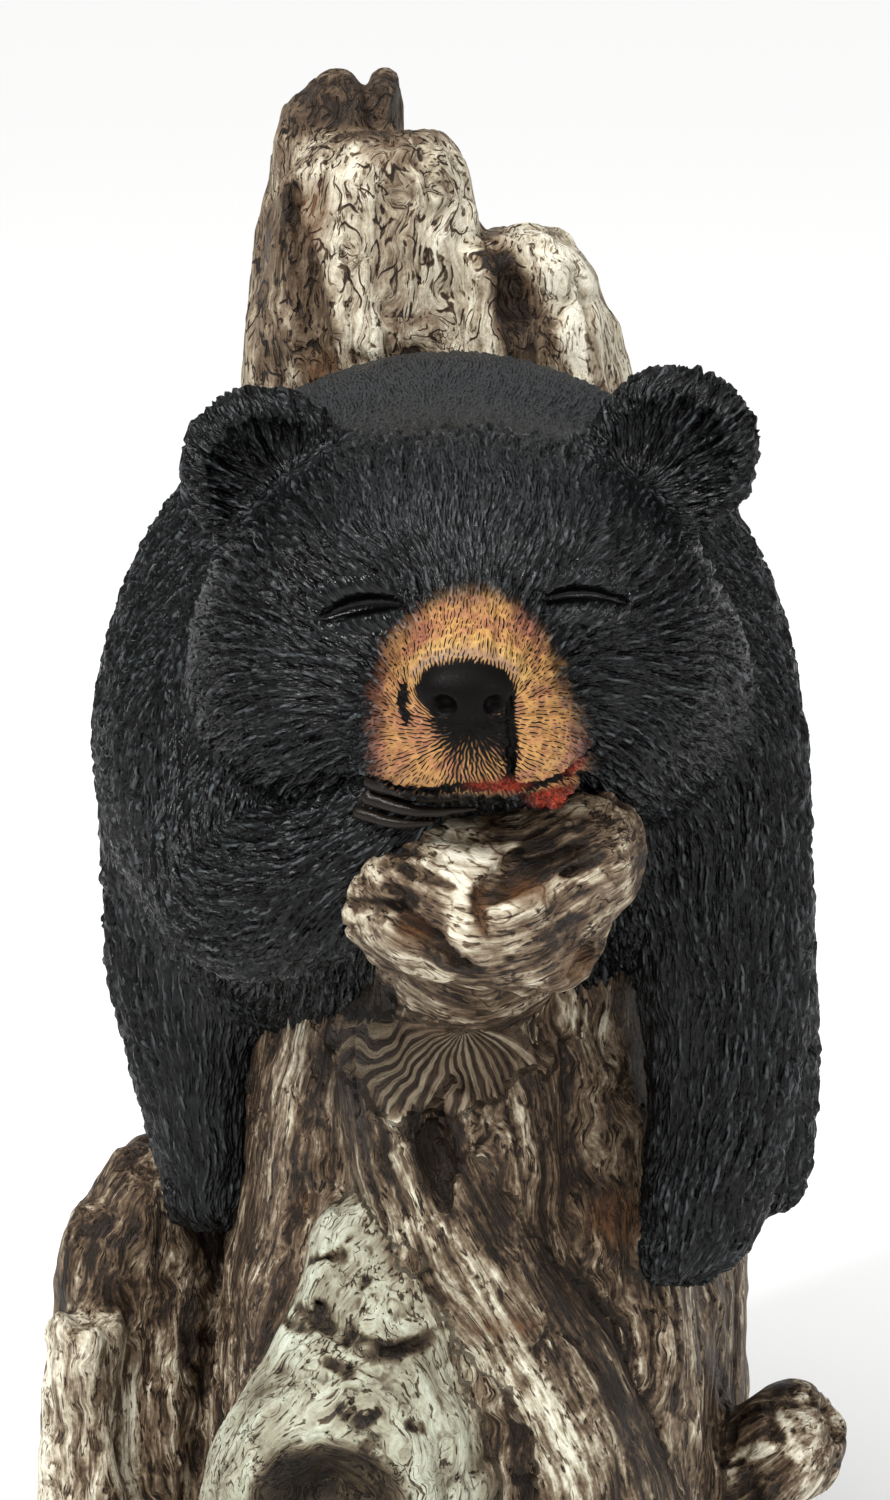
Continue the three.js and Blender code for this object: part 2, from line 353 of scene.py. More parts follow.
MOUTH, NICK, PHILTRUM = on_front(
    bare_head,
    [(-15, 198.5, 0.6, 0.7), (-8, 197.2, 0.2, 1), (2, 197.8, 0, 1.1)]
    + [(10, 197.8, 0.1, 1), (17, 198.6, 0.3, 1.0), (23, 201, 0.6, 0.7)],
    [(-8.4, 214.4, 0.2, 0.7), (-8.6, 212, 0.1, 1.0), (-7.9, 209.2, 0.2, 0.6)],
    [(8.6, 213.5, 0.2, 0.6), (9.2, 206, 0.1, 0.7), (8.6, 198.6, 0.1, 0.7)],
)
NOSE_PAD = (NOSE, (8.2, 5.2, 5.4), (14, 0, 0))


def head(p):
    skin = bare_head(p)
    for lines, melt in ((BROWS, 5), (LIDS, 1.6)):
        for line in lines:
            skin = blend(skin, limb(p, line, 3), melt)
    chin = (2, (3, -79, 194), (12, 11, 5))
    lip = (1, (15.5, -90.5, 195.2), (5.0, 4.0, 2.6), (0, -20, 0))
    skin = melted(p, skin, [chin, lip, (1.2, *NOSE_PAD)])
    for lines, edge in (([MOUTH], 1), ([PHILTRUM], 0.8), (SLITS, 0.7)):
        skin = grooved(p, skin, lines, edge)
    for x, width in ((-3.7, 2.2), (4.9, 1.8)):  # nostrils
        skin = carve(skin, egg(p, NOSE + (x, -4.6, -1.6), (width, 3, 1.8), (0, 0, x * 5)), 0.8)
    return skin


EAR_RADIUS = 14.6
EARS = ((-1, -33.0, 240.5), (1, 38.0, 244.0))  # side, then x and z of the centre
EAR_Y = -44.0


def ears(p):
    skins = []
    for s, x, z in EARS:
        r = EAR_RADIUS
        cup = egg(p, (x, EAR_Y, z), (r, 6.8, r), (-8, s * 10, s * -16))
        root = [[x - s * 13, EAR_Y + 3, z - 13, 12], [x - s * 6, EAR_Y + 2, z - 5, 9]]
        cup = blend(cup, limb(p, root), 5)
        bowl = egg(p, (x - s * 1.6, EAR_Y - 8, z - 1.8), (r - 0.8, 6.6, r - 0.6), (-8, s * 4, s * -16))
        skins.append(carve(cup, bowl, 0.9))
    return np.minimum(*skins)


CLAWS = (  # root, bend and tip of each claw of the folded paw, laid over the limb's end
    [(-14, -89.5, 196.4, 1.3), (-5, -93.4, 194.9, 1.0), (6, -93.6, 195.3, 0.4)],
    [(-14.5, -88.4, 193.4, 1.3), (-6, -92.2, 192.0, 1.0), (3.5, -92.2, 192.6, 0.4)],
    [(-16, -87.4, 190.6, 1.2), (-9.5, -90.8, 189.6, 0.9), (-2.5, -91.2, 190.0, 0.4)],
)


def claws(p):
    return thin_lines(p, CLAWS)


def toes(p, joints, spread, size):
    """Four toes side by side across the end of a paw."""
    end = np.array(joints[-1][:3])
    skin = np.full(len(p), 1e3, np.float32)
    for i in range(4):
        share = i / 3 - 0.5
        centre = end + np.array(spread) * share + (0, -2.0, -size * (0.9 - 1.1 * share * share))
        skin = np.minimum(skin, egg(p, centre, (size, size * 1.25, size * 1.5)))
    return skin


PAWS = (  # each hanging leg: joints, spread and size of its toes, and its melt into the body
    (HIND_RIGHT, (12, 2, 0), 3.4, 9),
    (HIND_LEFT, (14, 4, 0), 4.4, 9),
    (HANGING_FORE, (12, 3, 3), 3.4, 4),
)


def bear_field(p):
    skin = torso(p)
    for joints, spread, size, melt in PAWS:
        leg = blend(limb(p, joints), toes(p, joints, spread, size), 2)
        skin = blend(skin, leg, melt)
    nape = smooth(228, 244, p[:, 2])  # the head melts into the back on top, and folds over lower down
    skin = blend(skin, head(p), 3 + 14 * nape)
    skin = blend(skin, ears(p), 3.5)
    folded = blend(limb(p, FOLDED_FORE), egg(p, (-34, -57, 172), (16.5, 17, 16)), 6)
    return np.minimum(blend(skin, folded, 2.2), claws(p))


# ---- the stump's forms

ROOT = [
    [-7, -40, 150, 10], [-8, -46, 124, 11], [3, -52, 100, 12.5],
    [17, -51, 74, 14], [26, -51, 46, 15], [31, -55, 14, 17],
]
RIDGE = [[-17.5, -51, 99, 9], [-14.5, -54, 88, 14.5], [-16, -57, 74, 19]]
BRANCH = [[34, -8, 26, 17], [52, -13.5, 38.2, 12.4], [62.5, -18, 48.4, 11.4]]
NECK = [[5.5, -66, 170, 13], [3.5, -46, 160, 19]]


def trunk_grain(turn, z):
    """Long flutes that twist slowly up the trunk, and root lobes that spread near the ground."""
    twist = z * 0.006
    flutes = 0.04 * np.sin(7 * turn + twist) + 0.025 * np.sin(12 * turn - 2.3 * twist)
    spread = np.exp(-z / 17)
    return 1 + flutes + 0.09 * spread * np.cos(6 * turn + 0.9)


def trunk(p):
    lower = [
        [0, 2, 3, 66, 72], [10, 2, 3, 61.5, 69], [26, 2, 3, 53.5, 66], [75, 4, 3, 50, 66],
        [105, 3, 5, 45, 63.5], [140, 2, 8, 38, 60.5], [180, 2, 10, 36, 56],
    ]
    rear = [[20, -2, 44, 43, 28.5], [110, -2, 44, 41, 27.5], [200, -3, 47, 38, 24], [256, -4, 47, 34, 21]]
    return blend(post(p, lower, 6, trunk_grain), post(p, rear, 6, trunk_grain), 6)


def whole_top(p):
    spire = [[200, -22, 54, 20.5, 15], [262, -24.5, 56, 15.5, 13]]
    spire += [[286, -23.4, 56.6, 11.7, 11.2], [300, -22.4, 57, 7.4, 9.5]]
    spur = [[240, -14, 56, 7, 9], [299.5, -13.8, 57, 3.6, 6]]
    lobe = [[200, -17, 42, 24, 21], [255, -16.5, 41, 22.5, 19]]
    lobe += [[272, -15.1, 42, 20.6, 17], [289.5, -15.3, 43, 16.2, 15]]
    shoulder = [[200, 5, 44, 16, 21], [255, 6, 44, 12, 18], [270.4, 7, 44, 9, 15]]
    side = [[190, 20, 46, 18.5, 20], [235, 20.5, 46, 13, 18]]
    side += [[261, 18.2, 46, 10.2, 15.5], [271.2, 16, 46, 7, 13]]
    skin = post(p, spire, 9)
    for sections, crown, melt in ((spur, 4, 1), (lobe, 11, 2), (shoulder, 6, 3), (side, 9, 2)):
        skin = blend(skin, post(p, sections, crown), melt)
    return skin


TOP_CHANNELS = on_front(
    whole_top,
    [(-30, 279, 1, 1.6), (-28, 264, 0.6, 3.2), (-25.5, 246, 0.6, 3), (-24, 226, 1, 2)],
    [(9.2, 267, -0.4, 1.8), (13, 256, -0.6, 4.2), (16, 241, -0.6, 4.6), (18, 223, -0.4, 3)],
    [(25.5, 260, 0, 0.8), (26.5, 247, -0.2, 1.3), (29.5, 231, 0, 1)],
)


def broken_top(p):
    """The snapped top: a dark spire with a spur, a broad lobe and a lower side lobe."""
    skin = whole_top(p)
    for channel in TOP_CHANNELS:
        skin = carve(skin, limb(p, channel), 1.6)
    return skin - 0.7 * noise(p / 4.5, 7) * smooth(262, 272, p[:, 2])


def slabs(p):
    back = [[0, -59, 8, 17.5, 22], [50, -58, 8, 16, 20], [101, -56, 8, 10.5, 13]]
    middle = [[0, -67.5, 1, 12.5, 16], [45, -68, 1, 11.5, 15], [90, -66.5, 1, 8, 10]]
    strip = [[0, -70, -12, 9, 9.5], [37, -70, -12, 8.4, 9], [72, -69.5, -12, 6.6, 7.5]]
    joined = blend(blend(post(p, back, 11), post(p, middle, 10), 2), post(p, strip, 2), 1.2)
    return joined - 0.9 * noise(p / (5, 5, 14), 8)


def whole_end(p):
    x, y, z = LIMB_END
    lumps = [
        (3, (x + 15.5, y - 1, z + 7), (11, 17, 12), (0, -12, 0)),
        (3, (x - 14.5, y - 2.5, z - 0.5), (12, 17, 12)),
        (3, (x - 9, y - 1, z + 6), (12, 17.5, 9.5), (0, 14, 0)),
        (3, (x + 6.5, y - 2.5, z - 7), (13, 17, 9.5)),
    ]
    skin = melted(p, egg(p, (x - 1, y, z + 0.5), (22.5, 22, 16.5), (6, -4, 0)), lumps)
    return blend(skin, limb(p, NECK), 5)


END_HOLLOWS = on_front(  # the two broad gashes across the limb's torn face
    whole_end,
    [(-17.4, 175, 0.2, 0.8), (-11, 175.6, 0.1, 1.4), (-6, 172.6, 0.3, 2.5)]
    + [(-0.5, 168.6, 0.3, 2.4), (3.5, 165.6, 0, 0.9)],
    [(4.8, 179, 0.2, 1.2), (9.5, 180.6, 0.5, 2.3), (15, 182.8, 0.5, 2.2), (21, 185.4, 0.2, 1)],
)
END_TEARS = on_front(  # the slots in the gashes, then the finer cuts
    whole_end,
    [(-16.5, 175.3, 0.1, 0.7), (-9.3, 175.8, 1, 1.2), (-5.1, 173.4, 1.6, 1.3)]
    + [(-1.3, 169.6, 1.6, 1.3), (4.3, 166, 0.2, 0.7)],
    [(4.8, 179.6, 0.2, 0.9), (8, 182, 1.2, 1.2), (13.6, 185.4, 0.9, 1.2)]
    + [(18.5, 187.4, 0.3, 0.8), (22, 189, 0.1, 0.5)],
    [(5.6, 177.8, 0.2, 0.8), (10.6, 178.9, 1.2, 1.1), (16.5, 180.4, 0.9, 1.2)]
    + [(21.8, 182.8, 0.2, 0.8), (24.5, 184.4, 0, 0.4)],
    [(3.4, 180, 0.2, 0.5), (3.8, 176, 0.1, 0.9), (5.2, 172, 0.1, 0.4)],
    [(-11.5, 184, 0.1, 0.6), (-7.5, 184.6, 0, 0.8), (-3.4, 184.4, 0.1, 0.5)],
    [(-12.5, 181.2, 0.1, 0.6), (-6.5, 181.6, 0, 0.9), (-0.6, 179.6, 0.1, 0.6)],
    [(-11.5, 179.6, 0.1, 0.7), (-8, 177.8, 0, 1), (-6.5, 176.8, 0.1, 0.5)],
    [(14, 175.5, 0.1, 0.6), (20, 179, 0, 0.9), (27, 182, 0.1, 0.5)],
    [(9, 168, 0.1, 0.6), (15, 171.5, 0, 0.8), (22, 174.5, 0.1, 0.5)],
    [(10.5, 159.5, 0.2, 0.8), (13, 158.8, 0.1, 1.4)],
)
END_LIPS = on_front(  # pale raised lips under the hollows
    whole_end,
    [(6, 175.6, 0.8, 1), (11, 176.4, 0.3, 1.4), (17, 178.4, 0.3, 1.2), (23, 181.4, 0.4, 0.8)],
    [(-11, 173.6, 0.8, 1), (-9.4, 168.6, 0.3, 1.4), (-7, 165.2, 0.2, 1.6), (-2, 163.6, 0.6, 1.2)],
)
((END_KNOT,),) = on_front(whole_end, [(21.5, 164.5, 0.6, 3.6)])


def limb_end(p):
    """The torn end of the limb under the chin: lumps of wood round two crossing hollows."""
    skin = whole_end(p)
    for lip in END_LIPS:
        skin = blend(skin, limb(p, lip, 3), 1)
    skin = grooved(p, skin, END_HOLLOWS + END_TEARS, 0.9)
    return carve(skin, egg(p, END_KNOT[:3], (3.4, 3.4, 4)), 1)


def stump_parts(p):
    """The fields of the parts whose wood runs its own way: trunk, limb end, knot, root and branch."""
    upright = blend(trunk(p), broken_top(p), 5)
    upright = blend(upright, slabs(p), 2.5)
    knot = blend(egg(p, KNOT, (26.5, 17, 24.5), (10, 0, 0)), limb(p, RIDGE), 8)
    knot = carve(knot, egg(p, KNOT_HOLE, (13.5, 11, 12), (12, 0, 10)), 3)
    branch = limb(p, BRANCH)
    branch = carve(branch, egg(p, (75, -20, 56), (8.5, 5.5, 5.5), (0, -25, 0)), 2)
    branch = carve(branch, egg(p, (57, -30, 48), (6.2, 3.5, 3.2), (0, -10, 0)), 1)
    return upright, limb_end(p), knot, limb(p, ROOT), branch


def joined_stump(p):
    skin, end, knot, root, branch = stump_parts(p)
    for part, melt in ((root, 5), (knot, 4), (branch, 4), (end, 3)):
        skin = blend(skin, part, melt)
    return skin


FRONT_HOLLOW, PALE_EDGE, (BEAD,) = on_front(
    joined_stump,
    [(-3.5, 128.5, 0.6, 1.8), (-3.2, 122, 0.4, 3.9), (-2, 112, 0.6, 2.2)],
    [(-10.5, 127, 0, 1.2), (-10.3, 121, 0, 2.8), (-6.8, 115.7, 0, 1.6)]
    + [(0, 107.6, 0, 0.9), (8.4, 98, 0, 0.9), (17, 87, 0, 0.7)],
    [(-16, 88.8, 0.3, 1.7)],
)
KNOT_CUTS = on_front(  # the slit with a bead in it, then short cuts round the knot
    joined_stump,
    [(-28, 91.6, 0.1, 0.6), (-20, 90.4, 0, 1.2), (-13, 88.2, 0, 1.6)]
    + [(-5.5, 88.8, 0, 1.3), (1.5, 91.6, 0.1, 0.5)],
    [(-28, 93.6, 0.1, 0.4), (-23, 93.4, 0, 0.7), (-18, 91.4, 0, 0.5)],
    [(-26.5, 98.4, 0.1, 0.4), (-20, 102, 0, 0.8)],
    [(-33.5, 85, 0.2, 0.4), (-28, 89.4, 0.1, 0.6), (-24, 91, 0.2, 0.4)],
    [(-11.5, 103.6, 0.1, 0.6), (-5, 99.8, 0, 1.3), (2, 95.6, 0.1, 0.8)],
    [(-17.5, 97.6, 0.1, 0.5), (-15.6, 98.8, 0.1, 0.6)],
    [(-22.5, 86.2, 0.1, 0.6), (-18.6, 85, 0.1, 0.9)],
    [(-31.4, 82.6, 0.1, 0.6), (-30, 83.4, 0.1, 0.7)],
    [(-15.6, 73.2, 0.1, 0.7), (-14.2, 74.4, 0.1, 0.6)],
    [(-20, 79.4, 0.1, 0.4), (-16.4, 77.4, 0.1, 0.7), (-13.4, 79, 0.1, 0.4)],
    [(-8.4, 76.4, 0.1, 0.4), (-5.8, 75.4, 0.1, 0.6)],
)
BRANCH_LIPS = on_front(  # pale edges round the branch's broken end
    joined_stump,
    [(51.5, 45.6, 0, 0.9), (53, 48.6, 0, 1.1), (55.8, 50.6, 0, 1.3), (59, 51.6, 0, 0.8)],
    [(60.8, 57.4, 0, 0.5), (61.9, 56, 0, 0.6), (63.2, 54, 0, 0.6), (64, 51, 0, 1)],
)


def bead(p):
    return egg(p, BEAD[:3], (2.2, 1.7, 1.5))


def stump_field(p):
    skin = grooved(p, joined_stump(p), [FRONT_HOLLOW] + KNOT_CUTS, 1)
    skin = np.minimum(skin, bead(p))
    skin = skin - 1.1 * noise(p / 17, 5) - 0.5 * noise(p / 7, 6)
    return np.maximum(skin, -p[:, 2])


# ---- from field to mesh

STRIDE = 4  # grid steps to a coarse block
CHUNK = 250000  # points worked out at a time
FAR = 50  # stands for the field's value away from the skin
UNTANGLING_PASSES = 12


def in_chunks(field, points):
    parts = [field(points[i : i + CHUNK]) for i in range(0, len(points), CHUNK)]
    return np.concatenate(parts)


def graded(stops):
    """A grid axis whose step changes along it. Each stop is (place, step there)."""
    places, steps = np.array(stops, float).T
    line = [places[0]]
    while line[-1] < places[-1]:
        line.append(line[-1] + COARSE * np.interp(line[-1], places, steps))
    while (len(line) - 1) % STRIDE:
        line.append(line[-1] + COARSE * steps[-1])
    return np.array(line, np.float32)


def grid_points(axes, where):
    return np.stack([axis[index] for axis, index in zip(axes, where)], 1)


def window(grid, corner, size):
    """The block of a grid that starts at a corner."""
    return grid[tuple(slice(c, c + n) for c, n in zip(corner, size))]


def sampled(field, axes):
    """The field on the grid, exact near the skin and only its sign elsewhere."""
    coarse_axes = [axis[::STRIDE] for axis in axes]
    shape = [len(axis) for axis in coarse_axes]
    every = np.indices(shape).reshape(3, -1)
    coarse = in_chunks(field, grid_points(coarse_axes, every)).reshape(shape)
    widest = math.sqrt(sum(float(np.diff(axis).max()) ** 2 for axis in coarse_axes))
    close = np.abs(coarse) < widest * 1.1 + 1.5
    blocks = np.zeros([n - 1 for n in shape], bool)
    for corner in np.ndindex(2, 2, 2):
        blocks |= window(close, corner, blocks.shape)
    values = np.sign(coarse[:-1, :-1, :-1]) * FAR
    for axis in range(3):
        blocks = np.repeat(blocks, STRIDE, axis)
        values = np.repeat(values, STRIDE, axis)
    blocks = np.pad(blocks, (0, 1), "edge")
    values = np.pad(values, (0, 1), "edge").astype(np.float32)
    where = np.nonzero(blocks)
    values[where] = in_chunks(field, grid_points(axes, where))
    return values


def untangled(values):
    """Flips the faintest corner of each grid face whose signs alternate, so that no edge has four quads."""
    for _ in range(UNTANGLING_PASSES):
        inside = values < 0
        flips = []
        for flat in range(3):
            ways = [np.eye(3, dtype=int)[i] for i in range(3) if i != flat]
            corners = [0 * ways[0], ways[0], ways[1], ways[0] + ways[1]]
            size = [n - int(sum(w[i] for w in ways)) for i, n in enumerate(values.shape)]
            a, b, c, d = (window(inside, corner, size) for corner in corners)
            spots = np.argwhere((a == d) & (b == c) & (a != b))
            ring = np.stack([values[tuple((spots + corner).T)] for corner in corners])
            flips.append(spots + np.array(corners)[np.argmin(np.abs(ring), axis=0)])
        flips = np.unique(np.concatenate(flips), axis=0)
        if not len(flips):
            break
        values[tuple(flips.T)] *= -1
    return values


CORNERS = np.array(list(np.ndindex(2, 2, 2)))
EDGES = [(a, b) for a in range(8) for b in range(a + 1, 8) if np.abs(CORNERS[a] - CORNERS[b]).sum() == 1]


def surface_net(field, axes):
    """Points and quads of the skin where the field is zero, with faces pointing out."""
    values = untangled(sampled(field, axes))
    inside = values < 0
    size = [n - 1 for n in values.shape]
    count = sum(window(inside, corner, size).astype(np.int8) for corner in CORNERS)
    mixed = (count > 0) & (count < 8)
    index = np.full(size, -1, np.int32)
    index[mixed] = np.arange(mixed.sum())
    cells = np.argwhere(mixed)
    at = [values[tuple((cells + corner).T)] for corner in CORNERS]
    total = np.zeros((len(cells), 3), np.float32)
    hits = np.zeros(len(cells), np.float32)
    for a, b in EDGES:
        crosses = (at[a] < 0) != (at[b] < 0)
        t = np.where(crosses, at[a] / np.where(crosses, at[a] - at[b], 1), 0)
        spot = CORNERS[a] + t[:, None] * (CORNERS[b] - CORNERS[a])
        total += np.where(crosses[:, None], spot, 0)
        hits += crosses
    local = total / hits[:, None]
    steps = [np.diff(axis) for axis in axes]
    points = grid_points(axes, cells.T) + local * grid_points(steps, cells.T)
    quads = []
    for axis in range(3):
        after, v, w = np.roll(np.eye(3, dtype=int), -axis, axis=0)
        core = tuple(slice(0 if i == axis else 1, n) for i, n in enumerate(size))
        here = inside[:-1, :-1, :-1][core]
        there = inside[tuple(slice(s.start + a, s.stop + a) for s, a in zip(core, after))]
        spots = np.argwhere(here != there) + [s.start for s in core]
        leaves = inside[tuple(spots.T)]
        ring = [index[tuple((spots - shift).T)] for shift in (v + w, w, 0 * v, v)]
        quad = np.stack(ring, 1)
        quads.append(np.where(leaves[:, None], quad, quad[:, ::-1]))
    return points.astype(np.float32), np.concatenate(quads)


def main_body(points, quads):
    """Leaves out crumbs and closed voids apart from the main skin."""
    label = np.arange(len(points))
    while True:
        least = label[quads].min(1)
        fresh = label.copy()
        for corner in quads.T:
            np.minimum.at(fresh, corner, least)
        fresh = fresh[fresh]
        if np.array_equal(fresh, label):
            break
        label = fresh
    kept = label == np.bincount(label).argmax()
    renumbered = np.cumsum(kept) - 1
    return points[kept], renumbered[quads[kept[quads[:, 0]]]]


def gradient(field, points, step=0.25):
    offsets = np.array([[1, -1, -1], [-1, -1, 1], [-1, 1, -1], [1, 1, 1]], np.float32)
    slope = sum(o * in_chunks(field, points + o * step)[:, None] for o in offsets)
    return slope / (4 * step)


def settle(field, points, most):
    """Moves each point onto the skin, and gives the outward direction there."""
    for _ in range(2):
        slope = gradient(field, points)
        steepness = np.maximum(dot(slope, slope), 0.2)
        move = -(in_chunks(field, points) / steepness)[:, None] * slope
        size = np.maximum(length(move), 1e-6)[:, None]
        points = points + move * np.minimum(1, most / size)
    return points, unit(gradient(field, points))


# ---- relief: fur

FUR_SOURCE = np.array([2, -104, 209.5], np.float32)  # the face's fur lies away from here


def fur_ways(p, out):
    """Unit directions along the fur and across it, in the skin."""
    top = smooth(225, 248, p[:, 2])
    side = p[:, 0] / 60
    droop = smooth(12, 40, np.abs(p[:, 0])) * smooth(225, 205, p[:, 2])
    away = unit(p - FUR_SOURCE)
    away[:, 2] -= 0.5 * droop
    parts = [(torso(p), np.stack([0.35 * side, 0.25 + top, top - 1.0], 1)), (bare_head(p), away)]
    for s, x, z in EARS:
        base = np.array([x - s * 9, EAR_Y - 2, z - 9])
        parts.append((egg(p, (x, EAR_Y, z), (EAR_RADIUS, 7, EAR_RADIUS)) - 1.5, p - base))
    for joints in (FOLDED_FORE, HANGING_FORE, HIND_RIGHT, HIND_LEFT):
        parts.append(limb_frame(p, joints)[:2])
    way = sum(np.exp(-np.clip(skin, -6, 40) / 2.5)[:, None] * unit(lie) for skin, lie in parts)
    wander = np.stack([noise(p / 9 + i * 7, 40 + i) for i in range(3)], 1)
    way = unit(way) + 0.28 * wander
    along = unit(way - dot(way, out)[:, None] * out)
    return along, np.cross(out, along)


def nose_distance(p):
    return egg(p, *NOSE_PAD)


def eye_paint(p):
    """The closed slits of the eyes, and the bare glossy lids round them."""
    return smooth(0.7, 0.1, thin_lines(p, SLITS)), smooth(1.5, 0.2, thin_lines(p, LIDS))


def tan_paint(p):
    """How much tan paint covers each point: narrow between the eyes, wide at the lips."""
    x, y, z = p.T
    right = np.interp(z, [193, 212, 220, 226, 230], [-12.9, -12.9, -9.8, -4.6, 1])
    left = np.interp(z, [196, 206, 216, 222, 226, 230], [21.2, 20, 16, 12.5, 9, 4])
    inset = np.minimum(x - right, left - x) + 0.9 * noise(p / 2.4, 61)
    front = smooth(-60, -68, y) * smooth(195.8, 197.6, z)
    return smooth(-2.4, 2.0, inset) * front * smooth(230, 225, z)


def nape_share(p):
    """Where the back of the neck is only lightly tooled."""
    return smooth(230, 252, p[:, 2]) * smooth(-62, -32, p[:, 1]) * smooth(0.5, 5, ears(p))


def fur_depth(p):
    """How deeply the fur is tooled: less on the nape and the muzzle, not at all on nose and lids."""
    slit, lid = eye_paint(p)
    brow = np.exp(-(((p - (30, -62, 238)) / (12, 12, 8)) ** 2).sum(1))
    depth = (1 - 0.5 * nape_share(p)) * (1 - 0.6 * brow) * (1 - 0.55 * tan_paint(p))
    depth = depth * (1 - 0.55 * spot(p, (-46, -2, 118), (20, 30, 50)))  # the right hind leg
    depth = depth * (1 - 0.5 * spot(p, (37, -54, 140), (9, 16, 30)))  # inside the hanging foreleg
    depth = depth * smooth(0.2, 1.6, nose_distance(p)) * smooth(0.1, 0.8, claws(p))
    return depth * (1 - 0.8 * lid) * (1 - slit)


def fur_relief(p, out):
    along, across = fur_ways(p, out)
    locks = strokes(p, along, across, 3.6, 7.0, 11)
    dashes = strokes(p, along, across, 1.95, 4.0, 23)
    lumps = noise(p / 5.5, 31)
    shown = smooth(-4, -1.5, joined_stump(p))
    return shown * fur_depth(p) * (0.36 * locks + 0.66 * dashes + 0.16 * lumps)


# ---- relief: wood

UPRIGHT, END, KNOT_WOOD, ROOT_WOOD, BRANCH_WOOD = range(5)
SMALL_KNOTS = (  # x, z and radius
    (-4.8, 256, 4.2), (-10.5, 281, 2.6), (-3.5, 282, 2.2), (-19, 270, 2.4),
    (1.5, 272, 2.0), (22, 84, 3.4), (30, 128, 2.6), (-36, 118, 2.6),
)
BIG_KNOT = (KNOT_HOLE[0], KNOT_HOLE[2], 15.0)
KIND_GAP = 37.0  # sets the grain of the kinds apart
FAN_X, FAN_Z = 1.5, 142.5  # where the stripes of the fanned patch spring from


def flow_round(x, z, knot):
    """Parts the fibres round a knot, as a stream parts round a stone."""
    kx, kz, radius = knot
    dx, dz = x - kx, z - kz
    ring = np.hypot(dx, dz)
    pull = (radius / np.maximum(ring, radius)) ** 2
    return x - dx * pull + 1.2 * np.maximum(radius - ring, 0), z + dz * pull


def wood_kinds(p):
    """Which part's wood each point is, with ragged edges, and each part's share of the paint."""
    parts = np.stack(stump_parts(p)) + 1.3 * noise(p / 3.2, 70)
    parts[UPRIGHT] -= 1.3 * noise(p / 3.2, 70)
    share = np.exp(-(parts - parts.min(0)) / 1.3)
    return np.argmin(parts, axis=0), share / share.sum(0)


def wood_fibre(p, kind, fanned):
    """Where a point lies in straight-grained wood whose fibres run along the third axis."""
    x, y, z = p.T
    sway = 2.4 * noise(p / (12, 12, 20), 71) + 1.0 * noise(p / (4.5, 4.5, 9), 72)
    across, along = x + 1.1 * noise(p / 3.4, 73), z + 1.1 * noise(p / 3.4, 76)
    for knot in (BIG_KNOT,) + SMALL_KNOTS:
        across, along = flow_round(across, along, knot)
    front = np.stack([across + sway, y + sway, along], 1)
    ex, _, ez = LIMB_END
    valley = 0.55 * np.sqrt((x - ex) ** 2 + 36)
    end = np.stack([z - ez - valley + 0.5 * sway, y * 0.7, x], 1)
    fibres = [front, end, front]
    for joints in (ROOT, BRANCH):
        _, axis, offset, along = limb_frame(p, joints)
        side = unit(np.cross(axis, np.array([0, 1, 0])))
        wide = dot(offset, side)
        deep = dot(offset, np.cross(axis, side))
        fibres.append(np.stack([wide + 0.6 * sway, deep + 0.6 * sway, along], 1))
    fibre = np.choose(kind[:, None], fibres) + KIND_GAP * kind[:, None]
    if fanned:
        waves = 3.2 * noise(p / 6, 74) + 1.1 * noise(p / 3, 77)
        fan = 15.5 * np.arctan2(x - FAN_X, FAN_Z - z - 0.03 * (x - FAN_X) ** 2)
        striped = (zebra_patch(p) > 0.15) & (kind != END)
        fibre = np.where(striped[:, None], np.stack([fan + waves, 0.2 * y, z], 1), fibre)
    return fibre.astype(np.float32)


def zebra_patch(p):
    """The striped patch of the trunk's front, just under the limb's end."""
    x, y, z = p.T
    dx, dz = (x + 4) / 18, (z - 135.5) / 8
    edge = smooth(1.25, 0.75, np.hypot(dx, dz) + 0.3 * noise(p / 6, 75))
    return edge * smooth(-30, -40, y) * (1 - 0.4 * smooth(0, 9, x))


def wood_relief(p, out):
    """Flutes, grain and cracks, in millimetres."""
    kind, _ = wood_kinds(p)
    fibre = wood_fibre(p, kind, fanned=False)
    flutes = noise(fibre / (7, 7, 60), 81)
    grain = noise(fibre / (3.1, 3.1, 24), 82)
    fine = noise(fibre / (1.9, 1.9, 15), 83)
    split = np.abs(noise(fibre / (5.5, 5.5, 40), 84))
    crack = smooth(0.12, 0.0, split) * smooth(-0.3, 0.3, noise(fibre / (17, 17, 26), 85))
    pits = smooth(0.5, 0.8, noise(p / 3.2, 86)) * smooth(0.0, 0.4, noise(p / 11, 87))
    pale = (kind == KNOT_WOOD) | (kind == END)
    crumbs = np.where(kind == END, 0.45 * noise(p / 2.3, 88) + 0.3 * noise(p / 4.5, 89), 0)
    relief = np.where(pale, 0.7, 1) * (0.7 * flutes + 0.5 * grain + 0.3 * fine)
    relief = relief - 1.1 * crack - 0.6 * pits + crumbs
    level = smooth(-0.2, -0.7, out[:, 2]) * smooth(6, 1, p[:, 2])
    shown = smooth(-4, -1.5, torso(p))
    return relief * (1 - level) * shown


# ---- meshes


def new_mesh(name, points, faces):
    """A mesh from points in sculptor's millimetres."""
    mesh = bpy.data.meshes.new(name)
    mesh.from_pydata(((points + SHIFT) * UNIT).astype(np.float32), [], faces.tolist())
    mesh.validate()
    return mesh


def mesh_points(mesh):
    """The mesh's points, back in sculptor's millimetres."""
    placed = np.empty(len(mesh.vertices) * 3, np.float32)
    mesh.vertices.foreach_get("co", placed)
    return (placed.reshape(-1, 3) / UNIT - SHIFT).astype(np.float32)


